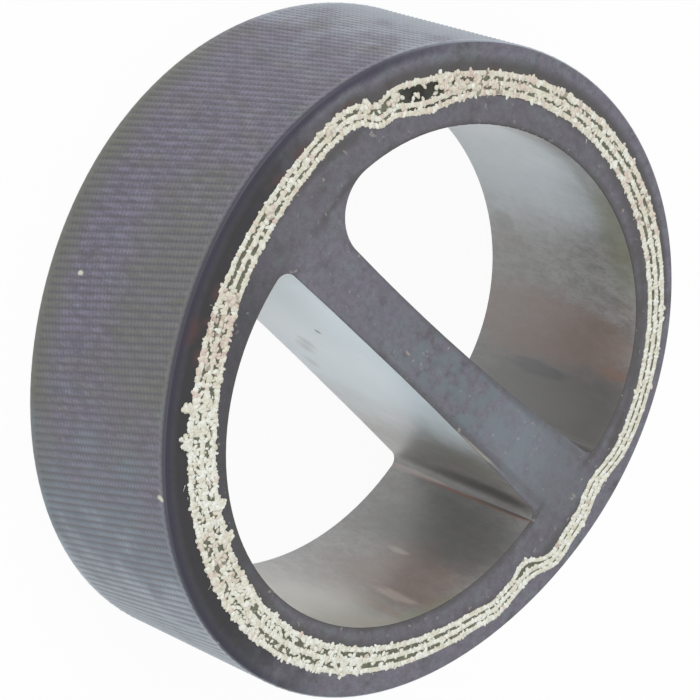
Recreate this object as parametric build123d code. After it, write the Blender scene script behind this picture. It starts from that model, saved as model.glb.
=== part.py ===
from build123d import *
import math
import os

# Rubber exhaust hanger: one slice of a fabric-reinforced rubber hose with a web across its bore.
# Millimetres and degrees. The ring's axis is Z, and the ring lies on one of its two cut faces.
# The web runs along X. The upper eye is on the +Y side of the web, the lower eye on the -Y side.
# Angles turn from +X towards +Y. The hose was squeezed a little out of round when it was cured,
# so every layer follows the outline of the outside and lies at its own depth below it.

# Outside of the ring. The layers and the eyes follow from it inwards.
mean_radius = 33.0      # mean radius of the outside
oval_stretch = 1.42     # how far the outside is drawn out across the web, and squeezed along it
ring_width = 22.9       # length of the slice, from cut face to cut face
egg_swell = 0.42        # how much fuller the lower eye's end is than the upper eye's
egg_lean = -0.21        # how far that fuller end leans to one side
squareness = 0.11       # slight flats on the oval

# Thickness of the rubber cover over the cloth
cover_mean = 2.40       # mean thickness
cover_thin_right = 0.92  # thinner by this much at the web's +X end
cover_thin_upper = 0.23  # thinner by this much over the upper eye
cover_oval = 0.19       # thinner at both web ends, thicker over both eyes
cover_twist = 0.32      # the same, between the axes

# Cord cloth plies, and the thin rubber between them
ply_thickness = 0.50    # one ply of cord cloth
skim_mean = 0.49        # mean thickness of the rubber between two plies
skim_thin_right = 0.15  # thinner at the +X end
skim_thin_upper = 0.21  # thinner over the upper eye
skim_oval = 0.17        # thinner at both web ends
skim_twist = 0.11       # the same, between the axes

# Where the cloth rides over the laps of the inner tube. Each is an angle, a spread and a depth:
# a positive depth presses the cloth inwards, and a negative one lifts it.
web_end_dip = (6.6, 5.9, 1.06)
right_lap_ridge = (-12.1, 4.7, -1.21)
right_lap_dip = (-15.8, 6.5, 1.00)
right_after_ridge = (-28.9, 3.0, -0.32)
left_lap_ridge = (151.9, 13.0, -0.88)
left_lap_dip = (146.3, 3.3, 1.15)
# Extra rubber between two plies, where they part at a lap
inner_skim_wedge = (-17.9, 2.75, 0.59)
outer_skim_pocket = (134.5, 11.0, 1.45)

# Web across the bore: the heights of its two sides at its waist, and a little past its two ends
web_waist_x = -2.0
web_overrun = 2.3       # the end heights are taken this far past the longest eye
web_top_left = 4.66
web_top_waist = 3.80
web_top_right = 5.33
web_bottom_left = -2.00
web_bottom_waist = -2.28
web_bottom_right = -3.71

# Eyes: each is the part of an oval bore on one side of the web. The upper eye's mandrel lay a little
# aslant, so the centres are given at the upper cut face, with their drift on the way down to the lower.
# Each oval reaches as far as its walls of the inner tube leave it, along the web and across it.
upper_eye_centre = (1.96, 5.42)
upper_eye_drift = (-0.90, 0.60)
upper_eye_turn = 12.4
upper_wall_along = 2.92
upper_wall_across = 2.95
lower_eye_centre = (0.47, -2.72)
lower_eye_drift = (0.0, 0.0)
lower_eye_turn = 1.7
lower_wall_along = 3.84
lower_wall_across = 2.35
upper_left_corner = 5.0     # corner radii where each eye meets the web
upper_right_corner = 1.3
lower_left_corner = 1.5
lower_right_corner = 1.1

# Sizes that follow: the cover with its plies, the core inside them, and the two ovals
ply_count = 3
band = cover_mean + ply_count * ply_thickness + (ply_count - 1) * skim_mean
core_half_along = mean_radius - oval_stretch - band
core_half_across = mean_radius + oval_stretch - band
upper_eye_half_length = core_half_along - upper_wall_along
upper_eye_half_height = core_half_across - upper_wall_across - upper_eye_centre[1]
lower_eye_half_length = core_half_along - lower_wall_along
lower_eye_half_height = core_half_across - lower_wall_across + lower_eye_centre[1]

# How finely the curves are laid out: each is a chain of arcs, shorter where the cloth jogs
right_jog = (-38, 14)
left_jog = (124, 172)
jog_arc = 3.0           # most degrees that one arc takes at a jog
plain_arc = 8.0         # and elsewhere
cut_clearance = 1.0     # a hole is cut from this far outside both cut faces


def ripple(angle, place):
    """A smooth bump of a given depth, centred on its angle."""
    centre, spread, depth = place
    distance = (angle - centre + 180) % 360 - 180
    return depth * math.exp(-((distance / spread) ** 2))


def outside_radius(angle):
    a = math.radians(angle)
    oval = oval_stretch * math.cos(2 * a)
    egg = egg_swell * math.sin(3 * a) + egg_lean * math.cos(3 * a)
    return mean_radius - oval + egg + squareness * math.cos(4 * a)


def cover_thickness(angle):
    a = math.radians(angle)
    even = cover_mean - cover_thin_right * math.cos(a) - cover_thin_upper * math.sin(a)
    even -= cover_oval * math.cos(2 * a) + cover_twist * math.sin(2 * a)
    laps = (web_end_dip, right_lap_ridge, right_lap_dip, right_after_ridge, left_lap_ridge, left_lap_dip)
    return even + sum(ripple(angle, place) for place in laps)


def skim_thickness(angle, pocket):
    a = math.radians(angle)
    even = skim_mean - skim_thin_right * math.cos(a) - skim_thin_upper * math.sin(a)
    even += skim_twist * math.sin(2 * a) - skim_oval * math.cos(2 * a)
    return even + ripple(angle, pocket)


def layer_depths(angle):
    """Depth of each layer's outer face below the outside, from the cover inwards to the web core."""
    thicknesses = (
        cover_thickness(angle),
        ply_thickness,
        skim_thickness(angle, outer_skim_pocket),
        ply_thickness,
        skim_thickness(angle, inner_skim_wedge),
        ply_thickness,
    )
    depths = [0.0]
    for thickness in thicknesses:
        depths.append(depths[-1] + thickness)
    return depths


def arc_ends():
    """Angles at which one arc of a layer's curve meets the next."""
    jogs_and_plain = (
        (right_jog[0], right_jog[1], jog_arc),
        (right_jog[1], left_jog[0], plain_arc),
        (left_jog[0], left_jog[1], jog_arc),
        (left_jog[1], right_jog[0] + 360, plain_arc),
    )
    ends = []
    for start, end, most in jogs_and_plain:
        count = math.ceil((end - start) / most)
        ends += [start + (end - start) * i / count for i in range(count)]
    return ends + [ends[0] + 360]


def layer_point(layer, angle):
    radius = outside_radius(angle) - layer_depths(angle)[layer]
    a = math.radians(angle)
    return Vector(radius * math.cos(a), radius * math.sin(a), 0)


def ring_wire(layer):
    """Closed curve of one layer's outer face."""
    ends = arc_ends()
    arcs = []
    for start, end in zip(ends, ends[1:]):
        arcs.append(ThreePointArc(*(layer_point(layer, angle) for angle in (start, (start + end) / 2, end))))
    return Wire(arcs)


def web_side(left, waist, right):
    """One side of the web: a shallow arc through its three heights, past both ends of the eyes."""
    eyes = ((upper_eye_centre, upper_eye_half_length), (lower_eye_centre, lower_eye_half_length))
    left_x = min(centre[0] - half_length for centre, half_length in eyes) - web_overrun
    right_x = max(centre[0] + half_length for centre, half_length in eyes) + web_overrun
    return ThreePointArc((left_x, left), (web_waist_x, waist), (right_x, right))


def slanted_bore(centre, drift, half_length, half_height, turn):
    """An oval bore past both cut faces, with its centre given at the upper one."""
    halves = []
    for start in (-90, 90):
        halves.append(EllipticalCenterArc((0, 0), half_length, half_height, start, arc_size=180))
    upwards = Vector(-drift[0], -drift[1], ring_width)
    overrun = cut_clearance / ring_width
    base = Vector(*centre, ring_width) - upwards * (1 + overrun)
    oval = Pos(base) * Rot(0, 0, turn) * make_face(halves)
    return Solid.extrude(oval.face(), upwards * (1 + 2 * overrun))


def eye_hole(bore, side, away, corner_radii):
    """An eye, to be cut through the core: the part of a bore on one side of the web.

    away is +1 for the upper eye and -1 for the lower. corner_radii are the left and right corners.
    """
    left, right = side @ 0, side @ 1
    far = away * 2 * mean_radius
    beyond = Polyline(right, (right.X, far), (left.X, far), left)
    region = make_face([side, *beyond.edges()])
    hole = bore & Pos(0, 0, -cut_clearance) * extrude(region, amount=ring_width + 2 * cut_clearance)
    for end, radius in zip((0, -1), corner_radii):
        upright = hole.edges().filter_by(lambda edge: edge.bounding_box().size.Z > ring_width)
        hole = fillet(upright.sort_by(Axis.X)[end], radius)
    return hole


def slab(outer, holes):
    """A layer: the area between its outer curve and its holes, as long as the slice."""
    return extrude(Face(outer, holes), amount=ring_width)


# Curves shared by neighbouring layers, so that each layer fills its place exactly
outside = ring_wire(0)
cover_inside = ring_wire(1)
outer_ply_inside = ring_wire(2)
middle_ply_outside = ring_wire(3)
middle_ply_inside = ring_wire(4)
inner_ply_outside = ring_wire(5)
inner_ply_inside = ring_wire(6)

upper_side = web_side(web_top_left, web_top_waist, web_top_right)
lower_side = web_side(web_bottom_left, web_bottom_waist, web_bottom_right)
upper_bore = slanted_bore(
    upper_eye_centre, upper_eye_drift, upper_eye_half_length, upper_eye_half_height, upper_eye_turn
)
lower_bore = slanted_bore(
    lower_eye_centre, lower_eye_drift, lower_eye_half_length, lower_eye_half_height, lower_eye_turn
)
upper_eye = eye_hole(upper_bore, upper_side, 1, (upper_left_corner, upper_right_corner))
lower_eye = eye_hole(lower_bore, lower_side, -1, (lower_left_corner, lower_right_corner))

layers = {
    "outer_cover": slab(outside, [cover_inside]),
    "outer_fabric_ply": slab(cover_inside, [outer_ply_inside]),
    "outer_ply_rubber": slab(outer_ply_inside, [middle_ply_outside]),
    "middle_fabric_ply": slab(middle_ply_outside, [middle_ply_inside]),
    "inner_ply_rubber": slab(middle_ply_inside, [inner_ply_outside]),
    "inner_fabric_ply": slab(inner_ply_outside, [inner_ply_inside]),
    "web_core": slab(inner_ply_inside, []) - upper_eye - lower_eye,
}

# The origin is at the middle of the ring's lower cut face
box = layers["outer_cover"].bounding_box()
to_origin = Pos(-box.center().X, -box.center().Y, -box.min.Z)

os.makedirs("parts", exist_ok=True)
for name, layer in layers.items():
    export_step(to_origin * layer, f"parts/{name}.step")
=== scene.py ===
"""Looks of a rubber exhaust hanger: one slice of cord-reinforced hose with a web across its bore."""

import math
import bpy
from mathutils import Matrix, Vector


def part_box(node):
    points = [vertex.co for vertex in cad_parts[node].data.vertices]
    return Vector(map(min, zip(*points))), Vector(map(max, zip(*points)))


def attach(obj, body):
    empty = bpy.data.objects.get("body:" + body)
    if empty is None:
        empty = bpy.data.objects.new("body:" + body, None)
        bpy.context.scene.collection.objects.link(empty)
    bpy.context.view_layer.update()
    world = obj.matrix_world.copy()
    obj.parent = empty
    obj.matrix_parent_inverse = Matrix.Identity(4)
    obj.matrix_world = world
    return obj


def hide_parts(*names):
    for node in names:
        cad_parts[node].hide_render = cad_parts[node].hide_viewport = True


bl_info = {
    "name": "Rubber exhaust hanger",
    "version": (1, 0, 0),
    "blender": (4, 5, 0),
    "location": "View3D > Sidebar > Hanger",
    "description": "Ring hanger with an imprinted cover, frayed cord cloth and cut rubber, in a small studio",
    "category": "Object",
}

import bpy
import numpy as np
from mathutils import Quaternion, Vector

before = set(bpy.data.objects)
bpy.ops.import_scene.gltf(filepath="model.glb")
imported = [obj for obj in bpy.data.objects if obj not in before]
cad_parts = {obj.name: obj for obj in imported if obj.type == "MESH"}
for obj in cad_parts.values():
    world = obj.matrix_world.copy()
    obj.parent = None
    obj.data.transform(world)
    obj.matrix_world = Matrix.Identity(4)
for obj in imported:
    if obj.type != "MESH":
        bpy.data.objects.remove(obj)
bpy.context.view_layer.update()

mm = 0.001
full_turn = 2 * math.pi
white = (1.0, 1.0, 1.0, 1.0)
ring_low, ring_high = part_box("outer_cover")
ring_width = ring_high.z - ring_low.z
ring_radius = (ring_high.x - ring_low.x + ring_high.y - ring_low.y) / 4
cut = 22.9  # height of the upper cut face in millimetres, for places in the materials

# Seeds of the noise and of the random draws. Each ply and each skim adds its own number.
wave_seed, strand_seed, gap_seed, patch_seed, wander_seed = 3, 20, 60, 80, 90


def srgb(red, green, blue):
    """A colour of the render, 0 to 255, as Blender's linear colour."""
    linear = []
    for part in (red, green, blue):
        share = part / 255
        linear.append(share / 12.92 if share <= 0.04045 else ((share + 0.055) / 1.055) ** 2.4)
    return (*linear, 1.0)


def number(name, description, default, **kind):
    return bpy.props.FloatProperty(name=name, description=description, default=default, **kind)


def length(name, description, default):
    return number(name, description, default, unit="LENGTH", precision=5)


def turn(name, description, degrees):
    return number(name, description, math.radians(degrees), subtype="ANGLE")


def share(name, description, default):
    return number(name, description, default, subtype="FACTOR")


def colour(name, description, *rgb):
    return bpy.props.FloatVectorProperty(
        name=name, description=description, default=srgb(*rgb), size=4, subtype="COLOR", min=0.0, max=1.0
    )


class HangerImprint(bpy.types.PropertyGroup):
    """Imprint of the woven curing cloth on the outside of the cover."""

    rib_pitch: length("Rib pitch", "Distance from rib to rib round the ring", 0.84 * mm)
    rib_depth: length("Rib depth", "Height of a rib over the groove beside it", 0.10 * mm)
    float_pitch: length("Float pitch", "Distance from bump to bump along a rib", 0.545 * mm)
    float_depth: length("Float depth", "Height of a bump on its rib", 0.09 * mm)
    lean: turn("Lean", "How far the ribs lean from the ring's axis", 12.1)
    rim_round: length("Rim rounding", "Radius of the cover's rims at both cut faces", 0.35 * mm)
    cut_wave: length("Cut wave", "Unevenness of the cut faces", 0.03 * mm)
    edge_break: length("Broken edge", "Width of the worn edges of the tube and web", 0.14 * mm)


class HangerCloth(bpy.types.PropertyGroup):
    """Cut ends of the three plies of cord cloth."""

    end_pitch: length("Cord pitch", "Distance from cord end to cord end along a ply", 0.40 * mm)
    end_size: length("Cord end size", "Width of one cut cord end", 0.74 * mm)
    end_rise: length("Cord end rise", "How far a neat cord end stands over the cut face", 0.05 * mm)
    fray_rise: length("Fray rise", "How much further a frayed end stands out", 0.17 * mm)
    fibre_length: length("Fibre length", "Length of the loose fibres", 0.55 * mm)
    fibre_radius: length("Fibre radius", "Radius of the loose fibres", 0.028 * mm)
    fray_ends: number("Frayed ends", "Extra strands of a fully frayed cord end", 4.2)
    missing_ends: share("Sunken ends", "Share of the neat cord ends that lie below the cut", 0.08)
    end_lean: turn("Cord lean", "How far the neat cord ends lean from the radius", 25)
    fibres: bpy.props.IntProperty(name="Fibres", description="Loose fibres of one ply", default=110)
    gap_depth: length("Gap depth", "How deep the dark rubber between two plies lies", 0.05 * mm)
    gap_fray_depth: length("Frayed gap depth", "How much deeper it lies in frayed cloth", 0.02 * mm)
    pocket_depth: length("Pocket depth", "How deep the void is where two plies part", 0.55 * mm)


class HangerColours(bpy.types.PropertyGroup):
    """Colours of the rubber and the cloth, and of the light and shade painted on them."""

    cut_rubber: colour("Cut rubber", "Purple-grey of the freshly cut rubber", 106, 103, 114)
    cut_green: colour("Cut rubber, green", "Greenish mottles in the cut rubber", 108, 116, 120)
    # Dark olive rubber; also painted shade towards the +X ends of the eyes and in the lower eye's corner by
    # the web
    cut_dark: colour("Cut rubber, dark", "Dark olive of the cut rubber beside the cloth", 70, 68, 66)
    # The blackest cut rubber; also painted shade in the lower eye's corner by the web and in the pocket where
    # two plies part
    cut_black_and_shade: colour("Cut rubber, black", "Cut face where it is darkest", 34, 34, 36)
    cut_rust: colour("Cut rubber, rust", "Red-brown stains beside the cloth", 82, 54, 52)
    # Painted shade: the dark band where the outside's rounded rim turns into the cut face
    rim_painted_shade: colour("Rim", "Blue-black of the polished rim", 38, 36, 54)
    face_green: colour("Web face, green", "Blue-green patches on the cut web", 104, 118, 122)
    face_pale: colour("Web face, pale", "Paler patches at the cut web's +X end", 122, 130, 138)
    wall_purple: colour("Outside", "Main colour of the imprinted outside", 104, 98, 116)
    wall_olive: colour("Outside, olive", "Olive patches on the outside", 96, 99, 82)
    # Bluish patches, and painted sheen on the outside round 270 degrees
    wall_blue_and_sheen: colour("Outside, blue", "Bluish patches on the outside", 102, 120, 130)
    # Painted sheen on the outside round 98 and 288 degrees
    wall_painted_sheen: colour("Outside, pale", "Palest bluish stretches on the outside", 172, 184, 194)
    # Painted shade in the grooves between the ribs
    wall_groove_shade: colour("Outside, groove", "Grooves between the ribs", 66, 64, 74)
    bore_grey: colour("Bore wall", "Moulded walls of the two eyes", 142, 141, 140)
    # Dark streaks; also painted shade in the upper eye's corner by the web
    bore_dark: colour("Bore wall, dark", "Dark streaks in the eyes", 74, 72, 69)
    bore_brown: colour("Bore wall, brown", "Brown stains in the eyes", 124, 98, 86)
    bore_green: colour("Bore wall, green", "Greenish bloom near the cut edges", 126, 130, 104)
    bore_blue: colour("Bore wall, blue", "Bluish bloom in the eyes", 146, 156, 162)
    # Painted reflection of the white floor on the web's side and the upper eye's far wall
    bore_painted_reflection: colour("Bore wall, pale", "Pale bloom on the web's side", 228, 246, 255)
    # Pale specks on the cut core; also a painted reflection on the lower eye's far wall and a painted
    # highlight along the web's lower cut edge
    warm_pale_and_highlight: colour("Bore wall, warm", "Pale stretch of the lower eye", 184, 178, 165)
    bore_rust: colour("Bore wall, rust", "Rusty streaks in the eyes", 132, 84, 58)
    cord_cream: colour("Cord", "Cream cotton cord", 220, 217, 200)
    cord_white: colour("Cord, pale", "Palest cord ends", 236, 238, 230)
    cord_pink: colour("Cord, pinkish", "Cord ends stained pinkish", 216, 198, 188)
    cord_shade: colour("Cord, shaded", "Dark olive between the cords", 112, 114, 96)
    skim: colour("Ply rubber", "Dark rubber between two plies", 104, 106, 90)


class HangerStage(bpy.types.PropertyGroup):
    """Camera, lamps and floor."""

    lens: number("Lens", "Focal length on a 36 mm sensor", 196.6, unit="CAMERA")
    distance: length("Distance", "From the camera to the aim point", 389.6 * mm)
    azimuth: turn("Azimuth", "Side from which the camera looks, from +X towards +Y", -163.55)
    elevation: turn("Elevation", "How far the camera looks down", 48.36)
    roll: turn("Roll", "How far the camera is turned about its own axis", 110.37)
    aim: bpy.props.FloatVectorProperty(
        name="Aim",
        description="Point that the camera looks at",
        default=(0.03 * mm, -0.46 * mm, 11.36 * mm),
        subtype="TRANSLATION",
    )
    sky: number("Sky", "Strength of the even light", 0.75)
    key: number("Key lamp", "Radiance of the main soft box", 1.4)
    fill: number("Fill lamp", "Radiance of the second soft box", 0.7)
    floor_glow: share("Floor glow", "Part of the floor's white that is seen without shadow", 0.94)


settings = (
    ("hanger_imprint", HangerImprint),
    ("hanger_cloth", HangerCloth),
    ("hanger_colours", HangerColours),
    ("hanger_stage", HangerStage),
)


# Mesh helpers

def deselect_all():
    bpy.ops.object.select_all(action="DESELECT")


def add_object(operator, name, **fields):
    """Adds an object with one of Blender's operators."""
    deselect_all()
    operator(**fields)
    made = bpy.context.object
    made.name = name
    return made


def add_ring(name, angle, radius, height, marks=None):
    """A closed ring, wrapped from a flat grid. The arrays give the place of every corner of its
    section, from the outside up and inwards, with a row for each station round the ring. marks are
    values that its materials read at each corner."""
    stations, corners = radius.shape
    add_grid = bpy.ops.mesh.primitive_grid_add
    ring = add_object(add_grid, name, x_subdivisions=stations, y_subdivisions=corners, size=1.0)
    ring.data.name = name
    flat = np.empty(len(ring.data.vertices) * 3, np.float32)
    ring.data.vertices.foreach_get("co", flat)
    flat = flat.reshape(-1, 3) + 0.5
    station = np.rint(flat[:, 0] * stations).astype(int) % stations
    corner = np.rint(flat[:, 1] * corners).astype(int) % corners
    angle, height = np.broadcast_to(angle, radius.shape), np.broadcast_to(height, radius.shape)
    place = np.stack([radius * np.cos(angle), radius * np.sin(angle), height], axis=-1)[station, corner]
    ring.data.vertices.foreach_set("co", place.reshape(-1).astype(np.float32))
    for mark, values in (marks or {}).items():
        set_mark(ring.data, mark, np.broadcast_to(values, radius.shape)[station, corner])
    bpy.ops.object.mode_set(mode="EDIT")
    bpy.ops.mesh.select_all(action="SELECT")
    bpy.ops.mesh.remove_doubles(threshold=0.0001 * mm)
    bpy.ops.object.mode_set(mode="OBJECT")
    return ring


def set_mark(mesh, name, values):
    mark = mesh.attributes.new(name, "FLOAT", "POINT")
    mark.data.foreach_set("value", np.asarray(values, np.float32).reshape(-1))


def select_only(piece):
    deselect_all()
    piece.select_set(True)
    bpy.context.view_layer.objects.active = piece


def shade_smooth(piece, degrees):
    select_only(piece)
    bpy.ops.object.shade_smooth_by_angle(angle=math.radians(degrees))


# Curves round the ring are tables of values at equal steps of the angle
curve_steps = 4096
curve_angles = np.arange(curve_steps) * full_turn / curve_steps


def soften(table, degrees):
    """Smooths such a table over so many degrees."""
    spread = math.radians(degrees)
    waves = np.fft.rfft(table)
    waves *= np.exp(-((np.arange(len(waves)) * spread) ** 2) / 2)
    return np.fft.irfft(waves, len(table))


wall_facing = 0.3  # a corner belongs to a wall when its normal turns this much along the radius


def wall_curve(node, outer, degrees):
    """Radius of a CAD ring's outer or inner wall, for equal steps of the angle round the origin."""
    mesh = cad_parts[node].data
    place = np.array([v.co[:] for v in mesh.vertices])
    normal = np.array([v.normal[:] for v in mesh.vertices])
    radius = np.hypot(place[:, 0], place[:, 1])
    facing = (place[:, 0] * normal[:, 0] + place[:, 1] * normal[:, 1]) / radius
    wall = facing > wall_facing if outer else facing < -wall_facing
    angle = np.arctan2(place[wall, 1], place[wall, 0])
    order = np.argsort(angle)
    table = np.interp(curve_angles, angle[order], radius[wall][order], period=full_turn)
    return soften(table, degrees)


def at_angle(table, angle):
    return np.interp(angle, curve_angles, table, period=full_turn)


def closed_noise(seed, coarse, fine):
    """Even noise round the ring, about 1 high, whose waves are between coarse and fine degrees long."""
    random = np.random.default_rng(seed)
    counts = np.arange(curve_steps // 2 + 1)
    low, high = 360 / coarse, 360 / fine
    weight = np.where((counts >= low) & (counts <= high), 1.0, 0.0)
    waves = weight * np.exp(1j * random.uniform(0, full_turn, len(counts)))
    table = np.fft.irfft(waves, curve_steps)
    return table / np.abs(table).std() / 3


# Node helpers

def nodes_of(owner):
    owner.use_nodes = True
    return owner.node_tree


def feed(tree, node, inputs):
    """Sets a node's inputs to values, or to the outputs of other nodes."""
    for name, value in inputs.items():
        if isinstance(value, bpy.types.NodeSocket):
            tree.links.new(value, node.inputs[name])
        else:
            node.inputs[name].default_value = value


def add_node(tree, kind, inputs, **fields):
    made = tree.nodes.new(kind)
    for name, value in fields.items():
        setattr(made, name, value)
    feed(tree, made, inputs)
    return made


def tree_of(*values):
    """The node tree of the first output among some values."""
    return next(value.id_data for value in values if isinstance(value, bpy.types.NodeSocket))


def mix_colours(factor, first, second, blend="MIX"):
    inputs = {0: factor, 6: first, 7: second}
    tree = tree_of(factor, first, second)
    return add_node(tree, "ShaderNodeMix", inputs, data_type="RGBA", blend_type=blend).outputs[2]


def between(value, low, high, to_low=0.0, to_high=1.0):
    """Maps a value smoothly from one range to another."""
    inputs = {"Value": value, "From Min": low, "From Max": high, "To Min": to_low, "To Max": to_high}
    made = add_node(value.id_data, "ShaderNodeMapRange", inputs, interpolation_type="SMOOTHSTEP")
    return made.outputs["Result"]


def compute(operation, first, second=0.0, third=0.0):
    inputs = {0: first, 1: second, 2: third}
    tree = tree_of(first, second, third)
    return add_node(tree, "ShaderNodeMath", inputs, operation=operation).outputs[0]


def times(first, *others):
    """Product of two or more values."""
    for other in others:
        first = compute("MULTIPLY", first, other)
    return first


def compute_vector(operation, first, second=(0.0, 0.0, 0.0)):
    inputs = {0: first, 1: second}
    return add_node(first.id_data, "ShaderNodeVectorMath", inputs, operation=operation).outputs


def parts_of(vector):
    return add_node(vector.id_data, "ShaderNodeSeparateXYZ", {0: vector}).outputs


def noise_value(place, scale, detail=2.0, rough=0.5):
    """Noise from 0 to 1 at object coordinates, in waves per metre."""
    inputs = {"Vector": place, "Scale": scale, "Detail": detail, "Roughness": rough}
    return add_node(place.id_data, "ShaderNodeTexNoise", inputs).outputs["Fac"]


# Node groups

def new_group(name, inputs, outputs):
    """A shader node group. Each input has its default: a number, a colour, or None for a vector."""
    group = bpy.data.node_groups.new(name, "ShaderNodeTree")
    for socket, default in inputs.items():
        kind = "Vector" if default is None else "Float" if isinstance(default, float) else "Color"
        made = group.interface.new_socket(socket, in_out="INPUT", socket_type=f"NodeSocket{kind}")
        if default is not None:
            made.default_value = default
    for socket, kind in outputs.items():
        group.interface.new_socket(socket, in_out="OUTPUT", socket_type=f"NodeSocket{kind}")
    return group, group.nodes.new("NodeGroupInput").outputs, group.nodes.new("NodeGroupOutput").inputs


def make_mottle_group():
    """Three colours in soft patches, with fine speckle over them."""
    inputs = {"Place": None, "Main": white, "Second": white, "Third": white, "Patches": 120.0}
    inputs |= {"Second share": 0.5, "Third share": 0.5, "Speckle": 0.2}
    group, given, put = new_group("Mottle", inputs, {"Color": "Color", "Height": "Float"})
    place = given["Place"]
    patches = noise_value(place, given["Patches"], detail=4.0, rough=0.6)
    elsewhere = {"Vector": place, "Location": (0.31, 0.17, 0.23)}
    moved = add_node(group, "ShaderNodeMapping", elsewhere).outputs[0]
    others = noise_value(moved, given["Patches"], detail=5.0, rough=0.65)
    second = times(between(patches, 0.48, 0.68), given["Second share"])
    third = times(between(others, 0.50, 0.70), given["Third share"])
    shade = mix_colours(second, given["Main"], given["Second"])
    shade = mix_colours(third, shade, given["Third"])
    fine = noise_value(place, 4200.0, detail=3.0, rough=0.7)
    coarse = noise_value(place, 1300.0, detail=2.0, rough=0.6)
    grain = compute("ADD", times(fine, 0.5), times(coarse, 0.5))
    darker = between(grain, 0.35, 0.65, -1.0, 1.0)
    gain = compute("MULTIPLY_ADD", darker, given["Speckle"], 1.0)
    grey = add_node(group, "ShaderNodeCombineColor", {"Red": gain, "Green": gain, "Blue": gain})
    tinted = mix_colours(1.0, shade, grey.outputs[0], blend="MULTIPLY")
    group.links.new(tinted, put["Color"])
    group.links.new(grain, put["Height"])
    return group


def tear(given, value, place, scale):
    """Moves the edge of a mask in and out by the group's Ragged input."""
    noise = compute("SUBTRACT", noise_value(place, scale, detail=4.0, rough=0.6), 0.5)
    return compute("MULTIPLY_ADD", noise, given["Ragged"], value)


def inside_edge(given, value, edge):
    """1 for values well under the edge and 0 well over it, by the group's Soft input."""
    low = compute("SUBTRACT", edge, given["Soft"])
    high = compute("ADD", edge, given["Soft"])
    return between(value, low, high, 1.0, 0.0)


def make_region_group():
    """Mask of a soft, ragged oval at a place on the object: 1 inside it and 0 outside."""
    inputs = {"Place": None, "Centre": None, "Size": None, "Soft": 0.3, "Ragged": 0.6}
    group, given, put = new_group("Region", inputs, {"Mask": "Float"})
    away = compute_vector("SUBTRACT", given["Place"], given["Centre"])[0]
    away = compute_vector("DIVIDE", away, given["Size"])[0]
    reach = compute_vector("LENGTH", away)["Value"]
    reach = tear(given, reach, away, 1.7)
    group.links.new(inside_edge(given, reach, 1.0), put["Mask"])
    return group


def make_band_group():
    """Mask of a band along an oval's curve, on a cut face: 1 on the curve and 0 a width away."""
    inputs = {"Place": None, "Centre": None, "Turn": None, "Size": None, "Width": 0.03, "Ragged": 0.02}
    group, given, put = new_group("Band", inputs, {"Mask": "Float"})
    away = compute_vector("SUBTRACT", given["Place"], given["Centre"])[0]
    turned = {"Vector": away, "Rotation": given["Turn"]}
    away = add_node(group, "ShaderNodeVectorRotate", turned, rotation_type="EULER_XYZ").outputs[0]
    parts = parts_of(compute_vector("DIVIDE", away, given["Size"])[0])
    flat = add_node(group, "ShaderNodeCombineXYZ", {"X": parts["X"], "Y": parts["Y"]}).outputs[0]
    reach = compute_vector("LENGTH", flat)["Value"]
    away = compute("ABSOLUTE", compute("SUBTRACT", reach, 1.0))
    away = tear(given, away, given["Place"], 500.0)
    group.links.new(between(away, 0.0, given["Width"], 1.0, 0.0), put["Mask"])
    return group


def make_arc_group():
    """Mask of a stretch round the ring: 1 within so many degrees of its middle and 0 outside."""
    inputs = {"Place": None, "Middle": 0.0, "Half": 30.0, "Soft": 10.0, "Ragged": 0.0}
    group, given, put = new_group("Arc", inputs, {"Mask": "Float"})
    parts = parts_of(given["Place"])
    degrees = times(compute("ARCTAN2", parts["Y"], parts["X"]), 180 / math.pi)
    away = compute("SUBTRACT", degrees, given["Middle"])
    away = compute("ABSOLUTE", compute("WRAP", away, 180.0, -180.0))
    away = tear(given, away, given["Place"], 220.0)
    group.links.new(inside_edge(given, away, given["Half"]), put["Mask"])
    return group


groups = {}


# Materials

def use_group(tree, name, inputs):
    return add_node(tree, "ShaderNodeGroup", inputs, node_tree=groups[name]).outputs


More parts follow.
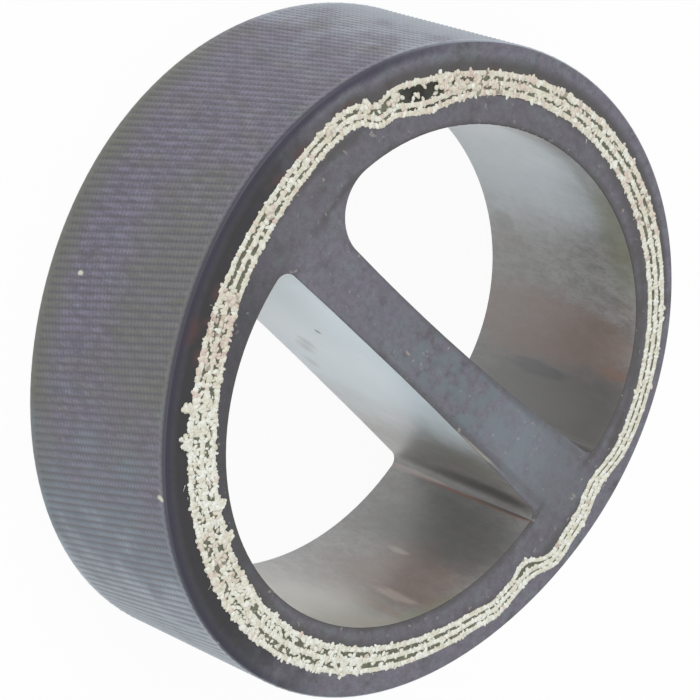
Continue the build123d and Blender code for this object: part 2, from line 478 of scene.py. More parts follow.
class Paint:
    """A material in the making: its node tree, its object coordinates and its colour so far.

    The methods take the scene's colours by the names of their properties."""

    def __init__(self, name):
        self.colours = bpy.context.scene.hanger_colours
        self.material = bpy.data.materials.new(name)
        self.tree = nodes_of(self.material)
        self.place = self.tree.nodes.new("ShaderNodeTexCoord").outputs["Object"]
        self.colour = None

    def drawn(self, scale):
        """Coordinates that draw a pattern out along the ring's axis."""
        inputs = {"Vector": self.place, "Scale": (1.0, 1.0, scale)}
        return add_node(self.tree, "ShaderNodeMapping", inputs).outputs[0]

    def mottle(self, shades, patches, second_share, third_share, speckle, place=None):
        """Starts with three colours in patches, and returns the height of their grain."""
        main, second, third = (getattr(self.colours, shade) for shade in shades)
        inputs = {"Place": place or self.place, "Main": main, "Second": second, "Third": third}
        inputs |= {"Second share": second_share, "Third share": third_share}
        inputs |= {"Patches": patches, "Speckle": speckle}
        looks = use_group(self.tree, "Mottle", inputs)
        self.colour = looks["Color"]
        return looks["Height"]

    def lay(self, above, mask, strength=1.0):
        """Lays a colour over the others where the mask says so."""
        above = getattr(self.colours, above)
        self.colour = mix_colours(times(mask, strength), self.colour, above)

    def mark(self, name):
        return add_node(self.tree, "ShaderNodeAttribute", {}, attribute_name=name).outputs["Fac"]

    def noise(self, scale, detail=2.0, rough=0.5):
        return noise_value(self.place, scale, detail, rough)

    def region(self, centre, size, soft=0.3, ragged=0.6):
        """Mask of an oval with its centre and half sizes in millimetres."""
        inputs = {"Place": self.place, "Soft": soft, "Ragged": ragged}
        inputs |= {"Centre": [part * mm for part in centre], "Size": [part * mm for part in size]}
        return use_group(self.tree, "Region", inputs)["Mask"]

    def spot(self, above, centre, size, soft, ragged, strength):
        """Lays a colour over an oval."""
        self.lay(above, self.region(centre, size, soft, ragged), strength)

    def band(self, centre, size, degrees, width, ragged):
        """Mask along an oval on the cut face, with its centre, half sizes and width in millimetres."""
        scale = (size[0] + size[1]) / 2
        inputs = {"Place": self.place, "Width": width / scale, "Ragged": ragged / scale}
        inputs |= {"Centre": (centre[0] * mm, centre[1] * mm, 0.0)}
        inputs |= {"Size": (size[0] * mm, size[1] * mm, 1.0)}
        inputs |= {"Turn": (0.0, 0.0, -math.radians(degrees))}
        return use_group(self.tree, "Band", inputs)["Mask"]

    def arc(self, middle, half, soft, ragged=0.0):
        """Mask of a stretch round the ring, in degrees."""
        inputs = {"Place": self.place, "Middle": middle, "Half": half, "Soft": soft, "Ragged": ragged}
        return use_group(self.tree, "Arc", inputs)["Mask"]

    def finish(self, height, depth, inputs):
        """Puts the colour, a bump of so much depth and the other inputs in the shader."""
        heights = {"Height": height, "Distance": depth, "Strength": 1.0}
        bump = add_node(self.tree, "ShaderNodeBump", heights).outputs["Normal"]
        shader = self.tree.nodes["Principled BSDF"]
        feed(self.tree, shader, {"Base Color": self.colour, "Normal": bump, **inputs})
        return self.material


cut_shades = ("cut_rubber", "cut_green", "cut_dark")


def cover_cut_material():
    """Cut face of the cover: dark and sooty on the left, with rust stains beside the cloth and painted shade
    beside the rounded rim.
    """
    paint = Paint("cut_cover")
    grain = paint.mottle(cut_shades, 430, 0.7, 0.6, 0.18)
    depth = paint.mark("depth")
    soot = times(paint.arc(222, 58, 16, 30), between(depth, 0.05, 0.55, 0.7, 0.96))
    paint.lay("cut_black_and_shade", soot)
    top = times(paint.arc(102, 60, 14, 20), between(depth, 0.3, 0.8))
    paint.lay("cut_dark", top, 0.85)
    rust = times(between(paint.noise(380, 3), 0.52, 0.66), between(depth, 0.55, 0.95))
    paint.lay("cut_rust", times(rust, paint.arc(175, 60, 20)), 0.8)
    paint.spot("cut_rust", (-28.3, -12.6, cut), (1.6, 1.6, 1), 0.3, 0.6, 0.6)
    # Painted shade on the cut face beside the rounded rim, on the -X side
    rim = times(between(depth, 0.05, 0.4, 1, 0), paint.arc(205, 75, 18, 20))
    paint.lay("rim_painted_shade", rim, 0.8)
    return paint.finish(grain, 0.05 * mm, {"Roughness": 0.6})


def cover_wall_material():
    """Imprinted outside: painted shade in the grooves and along the rim, olive stretches, bluish and pale
    stretches of painted sheen, a few pale specks and a scratch.
    """
    paint = Paint("imprinted_cover")
    shades = ("wall_purple", "wall_olive", "wall_blue_and_sheen")
    grain = paint.mottle(shades, 460, 0.45, 0.28, 0.36, paint.drawn(0.35))
    height = parts_of(paint.place)["Z"]
    olive = times(paint.arc(202, 24, 14, 40), between(height, 8 * mm, 16 * mm))
    paint.lay("wall_olive", olive, 0.55)
    back = between(height, 1.5 * mm, 5 * mm, 1, 0)
    paint.lay("wall_olive", times(back, paint.arc(195, 48, 12)), 0.7)
    # Painted sheen: a bluish stretch round 270 degrees and pale stretches round 98 and 288 degrees
    paint.lay("wall_blue_and_sheen", paint.arc(270, 34, 14, 60), 0.75)
    paint.lay("wall_painted_sheen", paint.arc(98, 36, 14, 60), 0.69)
    paint.lay("wall_painted_sheen", paint.arc(288, 30, 14, 60), 0.69)
    # Painted shade in the grooves between the ribs, a little more round 275 degrees
    groove = between(paint.mark("relief"), 0.15, 0.75, 1, 0)
    paint.lay("wall_groove_shade", groove, 0.78)
    paint.lay("wall_groove_shade", times(groove, paint.arc(275, 40, 14)), 0.2)
    # Painted shade along the upper rim's rounding, on the -X side
    paint.lay("rim_painted_shade", times(paint.mark("rim"), paint.arc(205, 75, 18, 20)), 0.92)
    paint.spot("bore_blue", (-3.6, -33.8, 17.6), (0.35, 2, 5.6), 0.3, 0.8, 0.7)
    paint.spot("cord_cream", (-19, -26.6, 22), (0.35, 0.35, 0.5), 0.3, 0.5, 0.8)
    paint.spot("cord_cream", (-29.3, -11.3, 5.2), (0.3, 0.3, 0.45), 0.3, 0.5, 0.8)
    gloss = {"Roughness": 0.42, "Coat Weight": 0.35, "Coat Roughness": 0.4}
    return paint.finish(grain, 0.03 * mm, gloss)


def core_cut_material():
    """Cut face of the inner tube and the web: purple, greener along the web, dark at its edges, with a
    painted highlight along the web's lower edge.
    """
    paint = Paint("cut_core")
    grain = paint.mottle(cut_shades, 480, 0.7, 0.45, 0.16)
    tufts = between(paint.noise(520, 3, 0.6), 0.42, 0.6)
    web = paint.region((10, 1.3, cut), (17, 3.4, 4), 0.4)
    paint.lay("face_green", times(tufts, web), 0.7)
    paint.spot("face_pale", (18.5, 1.3, cut), (8, 4, 4), 0.5, 0.6, 0.45)
    tube = compute("SUBTRACT", 1, paint.region((0, 0, cut), (21, 21, 30), 0.15, 0.3))
    paint.lay("cut_dark", tube, 0.26)
    paint.lay("cut_black_and_shade", times(paint.arc(226, 38, 14, 20), tube), 0.6)
    across = parts_of(paint.place)["Y"]
    above = between(across, 2.5 * mm, 5.5 * mm)
    below = between(across, -3.2 * mm, -0.6 * mm, 1, 0)
    outline = paint.band((0.9, 0.8), (27.4, 29.2), 0, 1.2, 1.6)
    upper = times(above, paint.band((2.17, 5.84), (23.8, 21.2), 12.4, 0.7, 1.2))
    lower = times(below, paint.band((0.68, -2.3), (22.9, 24.5), 1.7, 0.7, 1.2))
    for edge in (outline, upper, lower):
        paint.lay("cut_dark", edge, 0.7)
    for web_edge in (4.5, -2):
        paint.spot("cut_dark", (3, web_edge, cut), (19, 0.55, 2), 0.6, 1.4, 0.5)
    # Painted highlight: a thin pale line along the web's lower cut edge
    paint.spot("warm_pale_and_highlight", (11.5, -2.3, cut), (3.6, 0.16, 1), 0.4, 1.8, 0.5)
    paint.lay("warm_pale_and_highlight", between(paint.noise(1250), 0.66, 0.76), 0.4)
    return paint.finish(grain, 0.05 * mm, {"Roughness": 0.6})


def bore_wall_material():
    """Moulded walls of the eyes: drawn streaks, bloom at the edges, stains and the lower eye's seam, with
    painted reflections of the white floor and painted shade towards +X and in the corners by the web.
    """
    paint = Paint("moulded_bore")
    drawn = paint.drawn(0.4)
    paint.mottle(("bore_grey", "bore_dark", "bore_brown"), 300, 0.32, 0.35, 0.24, drawn)
    stains = (
        # Colour, centre, half sizes, softness, raggedness and strength
        # Painted reflection on the upper eye's far wall
        ("bore_painted_reflection", (5, 27, 6), (11, 5, 14), 0.5, 0.6, 0.65),
        # Painted shade towards the upper eye's +X end
        ("cut_dark", (27, 10, 12), (5, 9, 16), 0.5, 0.6, 0.85),
        ("bore_green", (13.5, 25, 21.5), (8, 5, 2.4), 0.6, 1, 0.6),
        ("bore_brown", (22.8, 16.4, 9), (4, 3.6, 14), 0.4, 0.8, 0.7),
        ("bore_rust", (24.3, 14.2, 21.2), (2, 0.6, 2.6), 0.5, 1, 0.4),
        # Painted shade in the upper eye's corner by the web
        ("bore_dark", (25.6, 8, 14), (3, 4.6, 13), 0.3, 0.4, 0.6),
        ("cut_black_and_shade", (24.8, 12.2, 10), (1.5, 0.75, 4.2), 0.35, 1.2, 0.8),
        ("cut_dark", (16, 23.8, 2.6), (1.2, 1.2, 1.6), 0.4, 1.2, 0.5),
        # Painted shade towards the lower eye's +X end
        ("cut_dark", (23.2, -9.6, 14), (2.4, 6, 13), 0.5, 0.6, 0.8),
        ("bore_brown", (19, -16, 14), (4.5, 5, 9), 0.6, 1.2, 0.7),
        ("cord_pink", (18.2, -18.1, 17), (1, 0.5, 3), 0.5, 1.6, 0.35),
        ("cord_pink", (21.3, -12.9, 10.5), (1, 0.3, 1.6), 0.4, 1, 0.35),
        ("bore_rust", (16.2, -20.3, 18), (1.4, 0.6, 4), 0.4, 1, 0.4),
        ("bore_green", (17, -19.5, 22.6), (8, 4, 1.3), 0.6, 1, 0.55),
        # Painted reflection, warm in tint, on the lower eye's far wall
        ("warm_pale_and_highlight", (8, -24, 14), (13, 5, 14), 0.5, 0.5, 0.75),
        # Painted reflection of the white floor on the web's lower side
        ("bore_painted_reflection", (-6, -1.8, 10), (19.5, 2, 22), 0.4, 0.5, 1),
        ("wall_olive", (16.5, -2.6, 13), (3.4, 1.4, 11), 0.6, 1.2, 0.45),
        # Painted shade in the corner where the web's lower side meets the lower eye's wall
        ("cut_black_and_shade", (22.4, -2.95, 14.5), (1.6, 0.5, 7.5), 0.35, 0.5, 0.65),
        ("cut_dark", (23, -3.4, 14), (1.4, 0.7, 10), 0.5, 0.6, 0.6),
        ("cord_pink", (23.5, -3.9, 3), (0.8, 0.3, 5.5), 0.4, 0.8, 0.55),
        ("bore_rust", (23.5, -4.1, 14), (0.8, 0.2, 9.5), 0.4, 1.1, 0.8),
        ("cut_black_and_shade", (23.5, -4, 18), (0.6, 0.12, 5), 0.35, 0.7, 0.9),
        ("cut_black_and_shade", (-6.5, -1.75, 13.3), (0.38, 0.9, 0.4), 0.25, 0.4, 1),
        ("wall_blue_and_sheen", (-1.9, -1.85, 7.2), (0.95, 0.9, 0.9), 0.8, 1.2, 0.6),
        ("wall_blue_and_sheen", (-0.4, -1.9, 5.6), (0.95, 0.9, 0.9), 0.8, 1.2, 0.6),
        ("wall_blue_and_sheen", (3.6, -2.04, 3), (0.9, 0.9, 0.7), 0.8, 1.2, 0.45),
    )
    for stain in stains:
        paint.spot(*stain)
    streaks = noise_value(drawn, 700, detail=4, rough=0.6)
    rough = between(noise_value(drawn, 160, detail=3), 0.3, 0.7, 0.34, 0.46)
    gloss = {"Roughness": rough, "IOR": 1.6}
    gloss |= {"Coat Weight": 0.9, "Coat IOR": 1.85, "Coat Roughness": 0.44}
    return paint.finish(streaks, 0.05 * mm, gloss)


def skim_material():
    """Dark rubber between the plies, with painted shade in the pocket where two plies part."""
    paint = Paint("ply_rubber")
    grain = paint.mottle(("skim", "cord_shade", "cut_dark"), 900, 0.8, 0.5, 0.25)
    # Painted shade in the pocket where the outer and the middle ply part
    paint.spot("cut_black_and_shade", (-19.9, 20.6, cut), (3.2, 2.8, 3), 0.4, 0.3, 0.75)
    return paint.finish(grain, 0.1 * mm, {"Roughness": 0.8})


def cord_material():
    """Cream cord: each end has its own tint, with fine fibres and dirt in the hollows."""
    paint = Paint("cord_cloth")
    ramp = add_node(paint.tree, "ShaderNodeValToRGB", {"Fac": paint.mark("tint")})
    stops = ((0, "cord_shade"), (0.25, "cord_pink"), (0.5, "cord_cream"), (0.85, "cord_white"))
    elements = ramp.color_ramp.elements
    while len(elements) < len(stops):
        elements.new(0.5)
    for element, (where, shade) in zip(elements, stops):
        element.position = where
        element.color = getattr(paint.colours, shade)
    paint.colour = ramp.outputs["Color"]
    dirt = between(paint.noise(2400, 2, 0.6), 0.56, 0.7)
    paint.lay("cord_shade", dirt, 0.35)
    return paint.finish(paint.noise(9000, 3, 0.7), 0.035 * mm, {"Roughness": 0.9})


def finish_piece(piece, materials, node):
    """Gives a piece its materials and its slot in the record, and hides the CAD node that it stands for."""
    for material in materials:
        piece.data.materials.append(material)
    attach(piece, "root")
    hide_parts(node)


# The cover

imprint_fade = 1.2 * mm  # the imprint fades out this far from both rims
rim_reach = 0.8 * mm     # the rim's painted shade starts this far below the upper cut face
rim_blend = 0.5 * mm     # and is full this much further up
flat_normal = 0.75       # faces whose normal stands up more than this are part of a cut face


class HANGER_OT_cover(bpy.types.Operator):
    """Model the rubber cover with the imprint of the curing cloth"""

    bl_idname = "hanger.cover"
    bl_label = "Outer cover"

    def execute(self, context):
        imprint = context.scene.hanger_imprint
        outside = wall_curve("outer_cover", True, 2.0)
        inside = wall_curve("outer_cover", False, 0.5)
        top, rim = ring_width, imprint.rim_round

        ribs = 2 * round(full_turn * ring_radius / imprint.rib_pitch / 2)
        stations = 4 * ribs
        rows = 2 * round((top - 2 * rim) / imprint.float_pitch)
        rim_steps, face_steps = 2, 3

        # The outside and both rims, as corners: each has its inset, its height, its share of the
        # imprint and its row of bumps. The rows go up the outside, and the lower rim comes last.
        wall = [(0.0, rim + (top - 2 * rim) * row / rows, 1.0, row) for row in range(rows + 1)]
        bend = []
        for step in range(1, rim_steps + 1):
            a = math.radians(90) * step / (rim_steps + 1)
            level = top - rim + rim * math.sin(a)
            bend.append((rim * (1 - math.cos(a)), level, 1 - step / rim_steps, 0))
        low_bend = [(inset, top - height, depth, 0) for inset, height, depth, _ in reversed(bend)]
        inset, height, depth, row = np.array(wall + bend + low_bend).T
        count = len(wall + bend)

        turns = np.arange(stations)[:, None] * full_turn / stations
        lean = math.tan(imprint.lean) / ring_radius

        def station_angle(z):
            return turns - lean * (z - top / 2)

        wall_angle = station_angle(height)
        fade = np.clip(np.minimum(height, top - height) / imprint_fade, 0, 1) * depth
        bump = np.cos(ribs / 2 * turns) * np.where(row % 2 == 0, 1.0, -1.0)
        relief = imprint.rib_depth * (np.cos(ribs * turns) - 1) / 2 + imprint.float_depth * (bump - 1) / 2
        wall_radius = at_angle(outside, wall_angle) - inset + relief * fade

        # Both cut faces, from the rim to the inside curve
        across = np.array([0.0, *((step + 0.5) / face_steps for step in range(face_steps - 1)), 1.0])
        wave = at_angle(closed_noise(wave_seed, 20, 0.5), station_angle(top))
        ripple = np.abs(imprint.cut_wave * wave) * (across > 0)
        faces = []
        for z in (top, 0.0):
            angle = np.repeat(station_angle(z), face_steps + 1, axis=1)
            edge = at_angle(outside, angle) - rim
            faces.append((angle, edge + (at_angle(inside, angle) - edge) * across, np.abs(z - ripple)))

        def section(wall, top_face, low_face):
            """Joins the outside, the two cut faces and the lower rim into one closed section."""
            return np.hstack([wall[:, :count], top_face, low_face[:, ::-1], wall[:, count:]])

        none = np.zeros_like(wall_angle)
        zero = np.zeros_like(faces[0][0])
        walls = (wall_angle, wall_radius, none + height)
        angle, radius, level = (section(*parts) for parts in zip(walls, *faces))
        relief = 1 + relief * fade / (imprint.rib_depth + imprint.float_depth)
        near_rim = none + np.clip((height - top + rim_reach) / rim_blend, 0, 1)
        marks = {
            "relief": section(relief, zero + 1, zero + 1),
            "rim": section(near_rim, zero, zero),
            "depth": section(none, zero + across, zero + across),
        }
        cover = add_ring("cover", angle, radius, level, marks)
        shade_smooth(cover, 50)
        rubber = (cover_wall_material(), cover_cut_material())
        finish_piece(cover, rubber, "outer_cover")
        flat = np.array([abs(p.normal.z) > flat_normal for p in cover.data.polygons])
        cover.data.polygons.foreach_set("material_index", flat.astype(np.int32))
        return {"FINISHED"}


# The cloth

# How frayed the cord ends are by the angle round the ring: the knife dragged them on the -X side
fray_stops = ((-40, 0.08), (50, 0.08), (62, 0.22), (85, 0.35), (122, 0.3), (130, 0.12), (144, 0.12))
fray_stops += ((150, 0.3), (160, 0.15), (190, 0.15), (204, 0.6), (216, 1.0), (264, 1.0), (275, 0.8))
fray_stops += ((290, 0.6), (298, 0.3), (315, 0.1))
# How pale the cord ends are: 0.25 is pinkish, 0.5 cream and 0.85 white
tint_stops = ((-40, 0.7), (50, 0.7), (66, 0.45), (80, 0.6), (118, 0.4), (130, 0.55), (190, 0.6))
tint_stops += ((204, 0.35), (220, 0.7), (240, 0.7), (252, 0.52), (264, 0.65), (300, 0.75), (320, 0.7))
# Clumps of cord on the upper face that stand out of the line. Each has its angle, its radius and
# spread in millimetres, its number of lumps and its tint.
clumps = (
    (120.5, 29.4, 0.8, 22, 0.5),
    (124.5, 29.3, 0.8, 24, 0.45),
    (128.3, 29.7, 0.9, 44, 0.48),
    (141.0, 28.8, 0.6, 16, 0.55),
    (147.9, 29.3, 0.7, 20, 0.6),
    (157.0, 29.1, 0.6, 24, 0.42),
    (177.0, 27.6, 0.6, 22, 0.45),
    (196.0, 26.7, 0.6, 24, 0.4),
    (218.4, 29.3, 0.6, 28, 0.6),
    (225.5, 29.35, 0.7, 28, 0.7),
    (240.9, 26.7, 0.5, 14, 0.7),
    (248.6, 27.3, 0.6, 18, 0.5),
    (293.0, 31.1, 0.6, 18, 0.75),
)
lump_shapes = 6
overhang = 0.1 * mm     # frayed strands reach this far beyond the outermost and innermost ply
wander = 0.1 * mm       # how far the line of neat cord ends strays from its ply
neat_sink, fray_sink = 0.15, 0.2    # share of its size by which a cord end is sunk
least_tint = 0.05
fibre_steps, fibre_sides = 3, 3

pocket_angle, pocket_spread = 134, 5    # where the outer and the middle ply part, in degrees

# Angles of the corners of the plies and of the rubber between them
ply_stations = 720
ply_turns = np.arange(ply_stations)[:, None] * full_turn / ply_stations


class HANGER_OT_cloth(bpy.types.Operator):
    """Model the three plies of cord cloth with their cut, frayed ends"""

    bl_idname = "hanger.cloth"
    bl_label = "Cord cloth plies"

    def execute(self, context):
        plies = ("outer_fabric_ply", "middle_fabric_ply", "inner_fabric_ply")
        lumps = [lump_shape(seed) for seed in range(lump_shapes)]
        cord = cord_material()
        edges = [(wall_curve(node, False, 0.5), wall_curve(node, True, 0.5)) for node in plies]
        for number, node in enumerate(plies):
            # Frayed strands reach half way to the next ply
            low, high = edges[number]
            reach_low = (low + edges[number + 1][1]) / 2 if number < 2 else low - overhang
            reach_high = (high + edges[number - 1][0]) / 2 if number > 0 else high + overhang
            ply = make_ply(node, number, low, high, reach_low, reach_high, lumps)
            finish_piece(ply, (cord,), node)
        return {"FINISHED"}


def taken(piece):
    """A piece's corners and faces. The piece itself is removed."""
    corners = np.array([v.co[:] for v in piece.data.vertices])
    faces = [tuple(p.vertices) for p in piece.data.polygons]
    bpy.data.objects.remove(piece)
    return corners, faces


def lump_shape(seed):
    """One lumpy cord end about 1 across, as corners and faces."""
    ball = bpy.ops.mesh.primitive_uv_sphere_add
    lump = add_object(ball, "lump", segments=8, ring_count=5, radius=0.5)
    bpy.ops.object.mode_set(mode="EDIT")
    bpy.ops.transform.vertex_random(offset=0.07, uniform=0.3, normal=0.5, seed=seed)
    bpy.ops.object.mode_set(mode="OBJECT")
    return taken(lump)


def by_angle(stops, angle):
    """Value at an angle in radians, from stops given in degrees."""
    degrees, values = zip(*stops)
    return np.interp(np.degrees(angle), degrees, values, period=360)


class Strands:
    """Gathers the lumps and fibres of a ply's cut ends into one mesh."""

    def __init__(self, random, lumps):
        self.random = random
        self.lumps = lumps
        self.corners, self.faces, self.tints = [], [], []
        self.count = 0

    def add(self, corners, faces, tint):
        corners = np.asarray(corners)
        self.corners.append(corners)
        self.faces += [tuple(corner + self.count for corner in face) for face in faces]
        self.tints.append(np.full(len(corners), np.clip(tint, least_tint, 1.0)))
        self.count += len(corners)

    def add_end(self, angle, radius, height, size, lean, side, tint):
        """A cord end: its sizes are given along the radius, round the ring and upwards."""
        random = self.random
        shape, faces = self.lumps[random.integers(len(self.lumps))]
        spin = Quaternion(Vector(random.normal(0, 1, 3)).normalized(), random.uniform(0, full_turn))
        lump = shape @ np.array(spin.to_matrix()).T * np.array(size)
        out = lump[:, 0] * math.cos(lean) - lump[:, 1] * math.sin(lean)
        around = lump[:, 0] * math.sin(lean) + lump[:, 1] * math.cos(lean)
        x = (radius + out) * math.cos(angle) - around * math.sin(angle)
        y = (radius + out) * math.sin(angle) + around * math.cos(angle)
        z = height + side * lump[:, 2]
        self.add(np.stack([x, y, np.maximum(z, 0.0)], axis=1), faces, tint)

    def add_fibre(self, start, heading, sag, radius, tint):
        """A loose fibre, as a thin bent tube with three sides."""
        across = heading.cross(Vector((0, 0, 1))).normalized()
        upwards = across.cross(heading).normalized()
        corners, faces = [], []
        for step in range(fibre_steps + 1):
            along = step / fibre_steps
            middle = start + heading * along + sag * along * along
            for side in range(fibre_sides):
                a = full_turn * side / fibre_sides
                turned = across * math.cos(a) + upwards * math.sin(a)
                corners.append(middle + turned * radius * (1.2 - along))
        for low in range(0, fibre_sides * fibre_steps, fibre_sides):
            for side in range(fibre_sides):
                after = (side + 1) % fibre_sides
                high = low + fibre_sides
                faces.append((low + side, low + after, high + after, high + side))
        self.add([corner[:] for corner in corners], faces, tint)


def add_layer(name, inner, outer, shares, sunk):
    """A layer between two curves of the hose. Its cut faces have corners at the given shares of
    the way from the inner curve to the outer, and there they are sunk below the cut."""
    across = np.array([1, 1, 1, *shares, 0, 0, 0, *reversed(shares)])
    levels = np.array([0, 0.5, 1, *[1] * len(shares), 1, 0.5, 0, *[0] * len(shares)])
    low_edge, high_edge = at_angle(inner, ply_turns), at_angle(outer, ply_turns)
    radius = low_edge + (high_edge - low_edge) * across
    sunk = sunk * np.where((across > 0) & (across < 1), 1.0, 0.0)
    height = ring_width * levels + np.where(levels == 1, -sunk, sunk)
    return add_ring(name, ply_turns, radius, height)


def make_ply(node, number, inner, outer, reach_low, reach_high, lumps):
    """One ply: its body and its cord ends at both cut faces, with loose fibres at the upper one."""
    cloth = bpy.context.scene.hanger_cloth
    middle_curve = (outer + inner) / 2
    random = np.random.default_rng(strand_seed + number)
    base = add_layer(f"ply_{number}", inner, outer, (0.66, 0.33), cloth.end_rise)
    strands = Strands(random, lumps)
    strands.add(*taken(base), 0.5)
    ends = int(full_turn * float(np.mean(middle_curve)) / cloth.end_pitch)
    patches = closed_noise(patch_seed + number, 9, 1.5)
    wavy_curve = middle_curve + closed_noise(wander_seed + number, 9, 2.5) * wander
    for side in (1, -1):
        level = ring_width if side > 0 else 0.0
        for end in range(ends):
            centre = end * full_turn / ends
            fray = float(by_angle(fray_stops, centre))
            tint = float(by_angle(tint_stops, centre) + 0.2 * at_angle(patches, centre))
            if random.uniform() > cloth.missing_ends * (1 - fray):
                size = cloth.end_size * random.uniform(0.88, 1.12)
                angle = centre + random.normal(0, 0.1) * full_turn / ends
                radius = float(at_angle(wavy_curve, angle)) + random.normal(0, 0.04) * mm
                rise = cloth.end_rise * random.uniform(0, 1)
                rise += cloth.fray_rise * fray * random.uniform(0, 0.7)
                lean = cloth.end_lean + random.normal(0, 0.25 + fray)
                sizes = (random.uniform(0.85, 1.28) * size, 0.72 * size, 0.4 * size)
                height = level + side * (rise - neat_sink * size)
                strands.add_end(angle, radius, height, sizes, lean, side, random.normal(tint, 0.1))
            for _ in range(random.poisson(cloth.fray_ends * fray)):
                angle = centre + random.uniform(-0.5, 0.5) * full_turn / ends
                radius = float(random.uniform(at_angle(reach_low, angle), at_angle(reach_high, angle)))
                size = cloth.end_size * random.uniform(0.7, 1.1)
                rise = cloth.fray_rise * random.uniform(-0.4, 1)
                sizes = (size, 0.6 * size, 0.42 * size)
                height = level + side * (rise - fray_sink * size)
                lean = random.uniform(0, math.pi)
                strands.add_end(angle, radius, height, sizes, lean, side, random.normal(tint, 0.11))
        if number > 0 or side < 0:
            continue
        for centre, where, spread, count, tint in clumps:
            for _ in range(count):
                angle = math.radians(centre) + random.normal(0, 0.5) * spread * mm / ring_radius
                radius = where * mm + random.normal(0, 0.5) * spread * mm
                size = cloth.end_size * random.uniform(0.6, 0.9)
                height = level + random.uniform(0.4, 1.4) * cloth.fray_rise - fray_sink * size
                sizes = (size, 0.9 * size, 0.7 * size)
                strands.add_end(angle, radius, height, sizes, 0.0, side, random.normal(tint, 0.12))

    for _ in range(cloth.fibres):
        angle = random.uniform(0, full_turn)
        if random.uniform() > 0.15 + 0.85 * float(by_angle(fray_stops, angle)):
            continue
        radius = float(at_angle(middle_curve, angle)) + random.normal(0, 0.3) * mm
        start = Vector((radius * math.cos(angle), radius * math.sin(angle), ring_width))
        heading = random.uniform(0, full_turn)
        reach = cloth.fibre_length * random.uniform(0.4, 1.0)
        heading = Vector((math.cos(heading), math.sin(heading), random.uniform(0.1, 0.6))) * reach
        sag = Vector((random.normal(0, 0.3), random.normal(0, 0.3), -random.uniform(0.1, 0.5))) * reach
        strands.add_fibre(start, heading, sag, cloth.fibre_radius, 0.6)

    mesh = bpy.data.meshes.new(node)
    mesh.from_pydata(np.vstack(strands.corners).tolist(), [], strands.faces)
    ply = bpy.data.objects.new(f"{node}_cords", mesh)
    bpy.context.scene.collection.objects.link(ply)
    set_mark(mesh, "tint", np.concatenate(strands.tints))
    shade_smooth(ply, 60)
    return ply


# The thin rubber between the plies

class HANGER_OT_ply_rubber(bpy.types.Operator):
    """Model the dark rubber between the plies, sunk a little below the cut"""

    bl_idname = "hanger.ply_rubber"
    bl_label = "Rubber between the plies"

    def execute(self, context):
        cloth = context.scene.hanger_cloth
        rubber = skim_material()
        for number, node in enumerate(("outer_ply_rubber", "inner_ply_rubber")):
            inner, outer = wall_curve(node, False, 0.5), wall_curve(node, True, 0.5)
            rough = 0.5 + 0.5 * at_angle(closed_noise(gap_seed + number, 4, 0.5), ply_turns)
            deep = cloth.gap_depth + cloth.gap_fray_depth * by_angle(fray_stops, ply_turns)
            if number == 0:
                away = (np.degrees(ply_turns) - pocket_angle) / pocket_spread
                deep = deep + cloth.pocket_depth * np.exp(-(away**2))
            skim = add_layer(f"{node}_skim", inner, outer, (0.75, 0.5, 0.25), deep * (0.6 + 0.4 * rough))
            shade_smooth(skim, 50)
            finish_piece(skim, (rubber,), node)
        return {"FINISHED"}


# The inner tube with its web

level_normal = 0.999    # faces whose normal stands up more than this stay flat-shaded
wall_normal = 0.3       # faces whose normal stands up less than this are part of a bore's wall


class HANGER_OT_web_core(bpy.types.Operator):
    """Model the inner tube and its web from the solid, with its cut edges broken"""

    bl_idname = "hanger.web_core"
    bl_label = "Inner tube and web"

    def execute(self, context):
        imprint = context.scene.hanger_imprint
        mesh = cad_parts["web_core"].data.copy()
        mesh.materials.clear()
        core = bpy.data.objects.new("tube_and_web", mesh)
        context.scene.collection.objects.link(core)
        select_only(core)
        bpy.ops.object.mode_set(mode="EDIT")
        bpy.ops.mesh.select_all(action="SELECT")
        bpy.ops.mesh.remove_doubles(threshold=0.002 * mm)
        bpy.ops.mesh.dissolve_limited(angle_limit=math.radians(0.5))
        bpy.ops.mesh.select_all(action="DESELECT")
        bpy.ops.mesh.edges_select_sharp(sharpness=math.radians(60))
        bpy.ops.mesh.bevel(offset=imprint.edge_break, segments=2, affect="EDGES")
        bpy.ops.object.mode_set(mode="OBJECT")
        shade_smooth(core, 40)
        upright = np.array([abs(p.normal.z) for p in mesh.polygons])
        mesh.polygons.foreach_set("use_smooth", upright < level_normal)
        rubber = (core_cut_material(), bore_wall_material())
        finish_piece(core, rubber, "web_core")
        mesh.polygons.foreach_set("material_index", (upright < wall_normal).astype(np.int32))
        return {"FINISHED"}


# Floor, lamps, sky and camera

floor_gap = 0.02 * mm   # keeps the floor clear of the lower cut face
lamp_distance, lamp_size = 600 * mm, 500 * mm


def direction(azimuth, elevation):
    level = math.cos(elevation)
    return Vector((level * math.cos(azimuth), level * math.sin(azimuth), math.sin(elevation)))


def add_camera(stage):
    away = direction(stage.azimuth, stage.elevation)
    place = Vector(stage.aim) + away * stage.distance
    camera = add_object(bpy.ops.object.camera_add, "camera", location=place)
    straight = (-away).to_track_quat("-Z", "Y")
    camera.rotation_euler = (straight @ Quaternion((0, 0, 1), stage.roll)).to_euler()
    camera.data.lens = stage.lens
    camera.data.sensor_width = 36
    camera.data.clip_start = 10 * mm
    bpy.context.scene.camera = camera


def add_lamp(name, azimuth, elevation, radiance):
    """A square soft box that faces the part. Its power follows from its size and radiance."""
    away = direction(math.radians(azimuth), math.radians(elevation))
    lamp = add_object(bpy.ops.object.light_add, name, type="AREA", location=away * lamp_distance)
    lamp.rotation_euler = (-away).to_track_quat("-Z", "Y").to_euler()
    lamp.data.shape = "SQUARE"
    lamp.data.size = lamp_size
    lamp.data.energy = radiance * math.pi * lamp_size * lamp_size


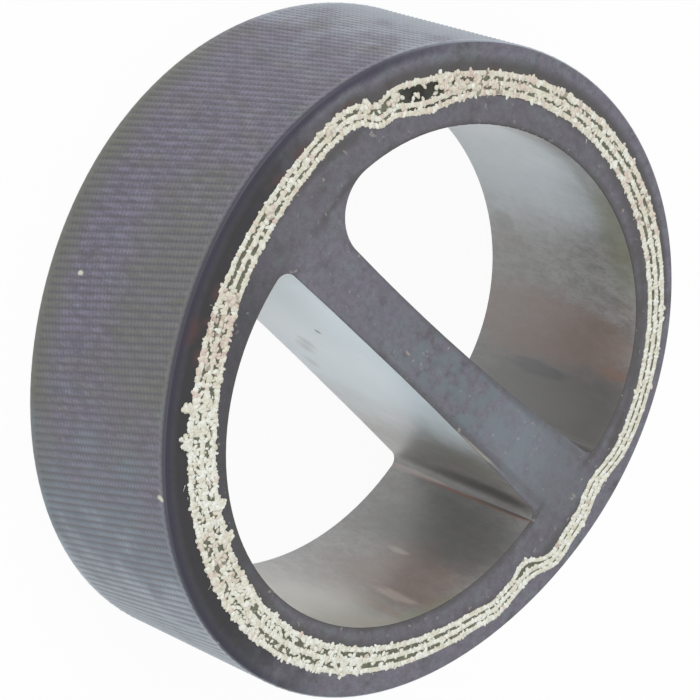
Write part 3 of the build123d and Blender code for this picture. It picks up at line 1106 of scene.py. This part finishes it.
def shown(tree):
    """1 for the rays that show a surface in the picture, and 0 for those that only light others."""
    ray = tree.nodes.new("ShaderNodeLightPath").outputs
    seen = compute("MAXIMUM", ray["Is Camera Ray"], ray["Is Glossy Ray"])
    return compute("MAXIMUM", seen, ray["Is Transmission Ray"])


def add_sky(stage):
    world = bpy.data.worlds.new("white_room")
    bpy.context.scene.world = world
    tree = nodes_of(world)
    inputs = {"Value": shown(tree), "To Min": stage.sky, "To Max": 1.0}
    strength = add_node(tree, "ShaderNodeMapRange", inputs).outputs["Result"]
    feed(tree, tree.nodes["Background"], {"Color": white, "Strength": strength})


def add_floor(stage):
    """A white floor: part of its white is seen without shadow, and the rest keeps the ring's shadow."""
    add_plane = bpy.ops.mesh.primitive_plane_add
    floor = add_object(add_plane, "floor", size=4.0, location=(0, 0, -floor_gap))
    material = bpy.data.materials.new("floor_paper")
    tree = nodes_of(material)
    tree.nodes.remove(tree.nodes["Principled BSDF"])
    glow = times(shown(tree), stage.floor_glow)
    paper = add_node(tree, "ShaderNodeBsdfDiffuse", {"Color": srgb(247, 247, 248)})
    light = add_node(tree, "ShaderNodeEmission", {"Color": white, "Strength": 1.0})
    both = add_node(tree, "ShaderNodeMixShader", {0: glow, 1: paper.outputs[0], 2: light.outputs[0]})
    feed(tree, tree.nodes["Material Output"], {"Surface": both.outputs[0]})
    floor.data.materials.append(material)


class HANGER_OT_stage(bpy.types.Operator):
    """Set the camera, the lamps, the white room and the floor"""

    bl_idname = "hanger.stage"
    bl_label = "Studio"

    def execute(self, context):
        stage = context.scene.hanger_stage
        context.scene.view_settings.view_transform = "Standard"
        add_camera(stage)
        add_sky(stage)
        add_floor(stage)
        add_lamp("key_box", 150, 40, stage.key)
        add_lamp("fill_box", -120, 35, stage.fill)
        return {"FINISHED"}


class HANGER_PT_panel(bpy.types.Panel):
    """Sizes, colours and pieces of the hanger"""

    bl_idname = "HANGER_PT_panel"
    bl_label = "Exhaust hanger"
    bl_space_type = "VIEW_3D"
    bl_region_type = "UI"
    bl_category = "Hanger"

    def draw(self, context):
        for name, group in settings:
            box = self.layout.box()
            box.label(text=group.__doc__)
            for prop in group.__annotations__:
                box.prop(getattr(context.scene, name), prop)
        for operator in operators:
            self.layout.operator(operator.bl_idname)


operators = (
    HANGER_OT_stage,
    HANGER_OT_cover,
    HANGER_OT_cloth,
    HANGER_OT_ply_rubber,
    HANGER_OT_web_core,
)


def register():
    for name, group in settings:
        bpy.utils.register_class(group)
        setattr(bpy.types.Scene, name, bpy.props.PointerProperty(type=group))
    for operator in operators:
        bpy.utils.register_class(operator)
    bpy.utils.register_class(HANGER_PT_panel)


def unregister():
    bpy.utils.unregister_class(HANGER_PT_panel)
    for operator in reversed(operators):
        bpy.utils.unregister_class(operator)
    for name, group in reversed(settings):
        delattr(bpy.types.Scene, name)
        bpy.utils.unregister_class(group)


def main():
    register()
    groups["Mottle"] = make_mottle_group()
    groups["Region"] = make_region_group()
    groups["Band"] = make_band_group()
    groups["Arc"] = make_arc_group()
    bpy.ops.hanger.stage()
    bpy.ops.hanger.cover()
    bpy.ops.hanger.cloth()
    bpy.ops.hanger.ply_rubber()
    bpy.ops.hanger.web_core()
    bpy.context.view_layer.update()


if __name__ == "__main__":
    main()
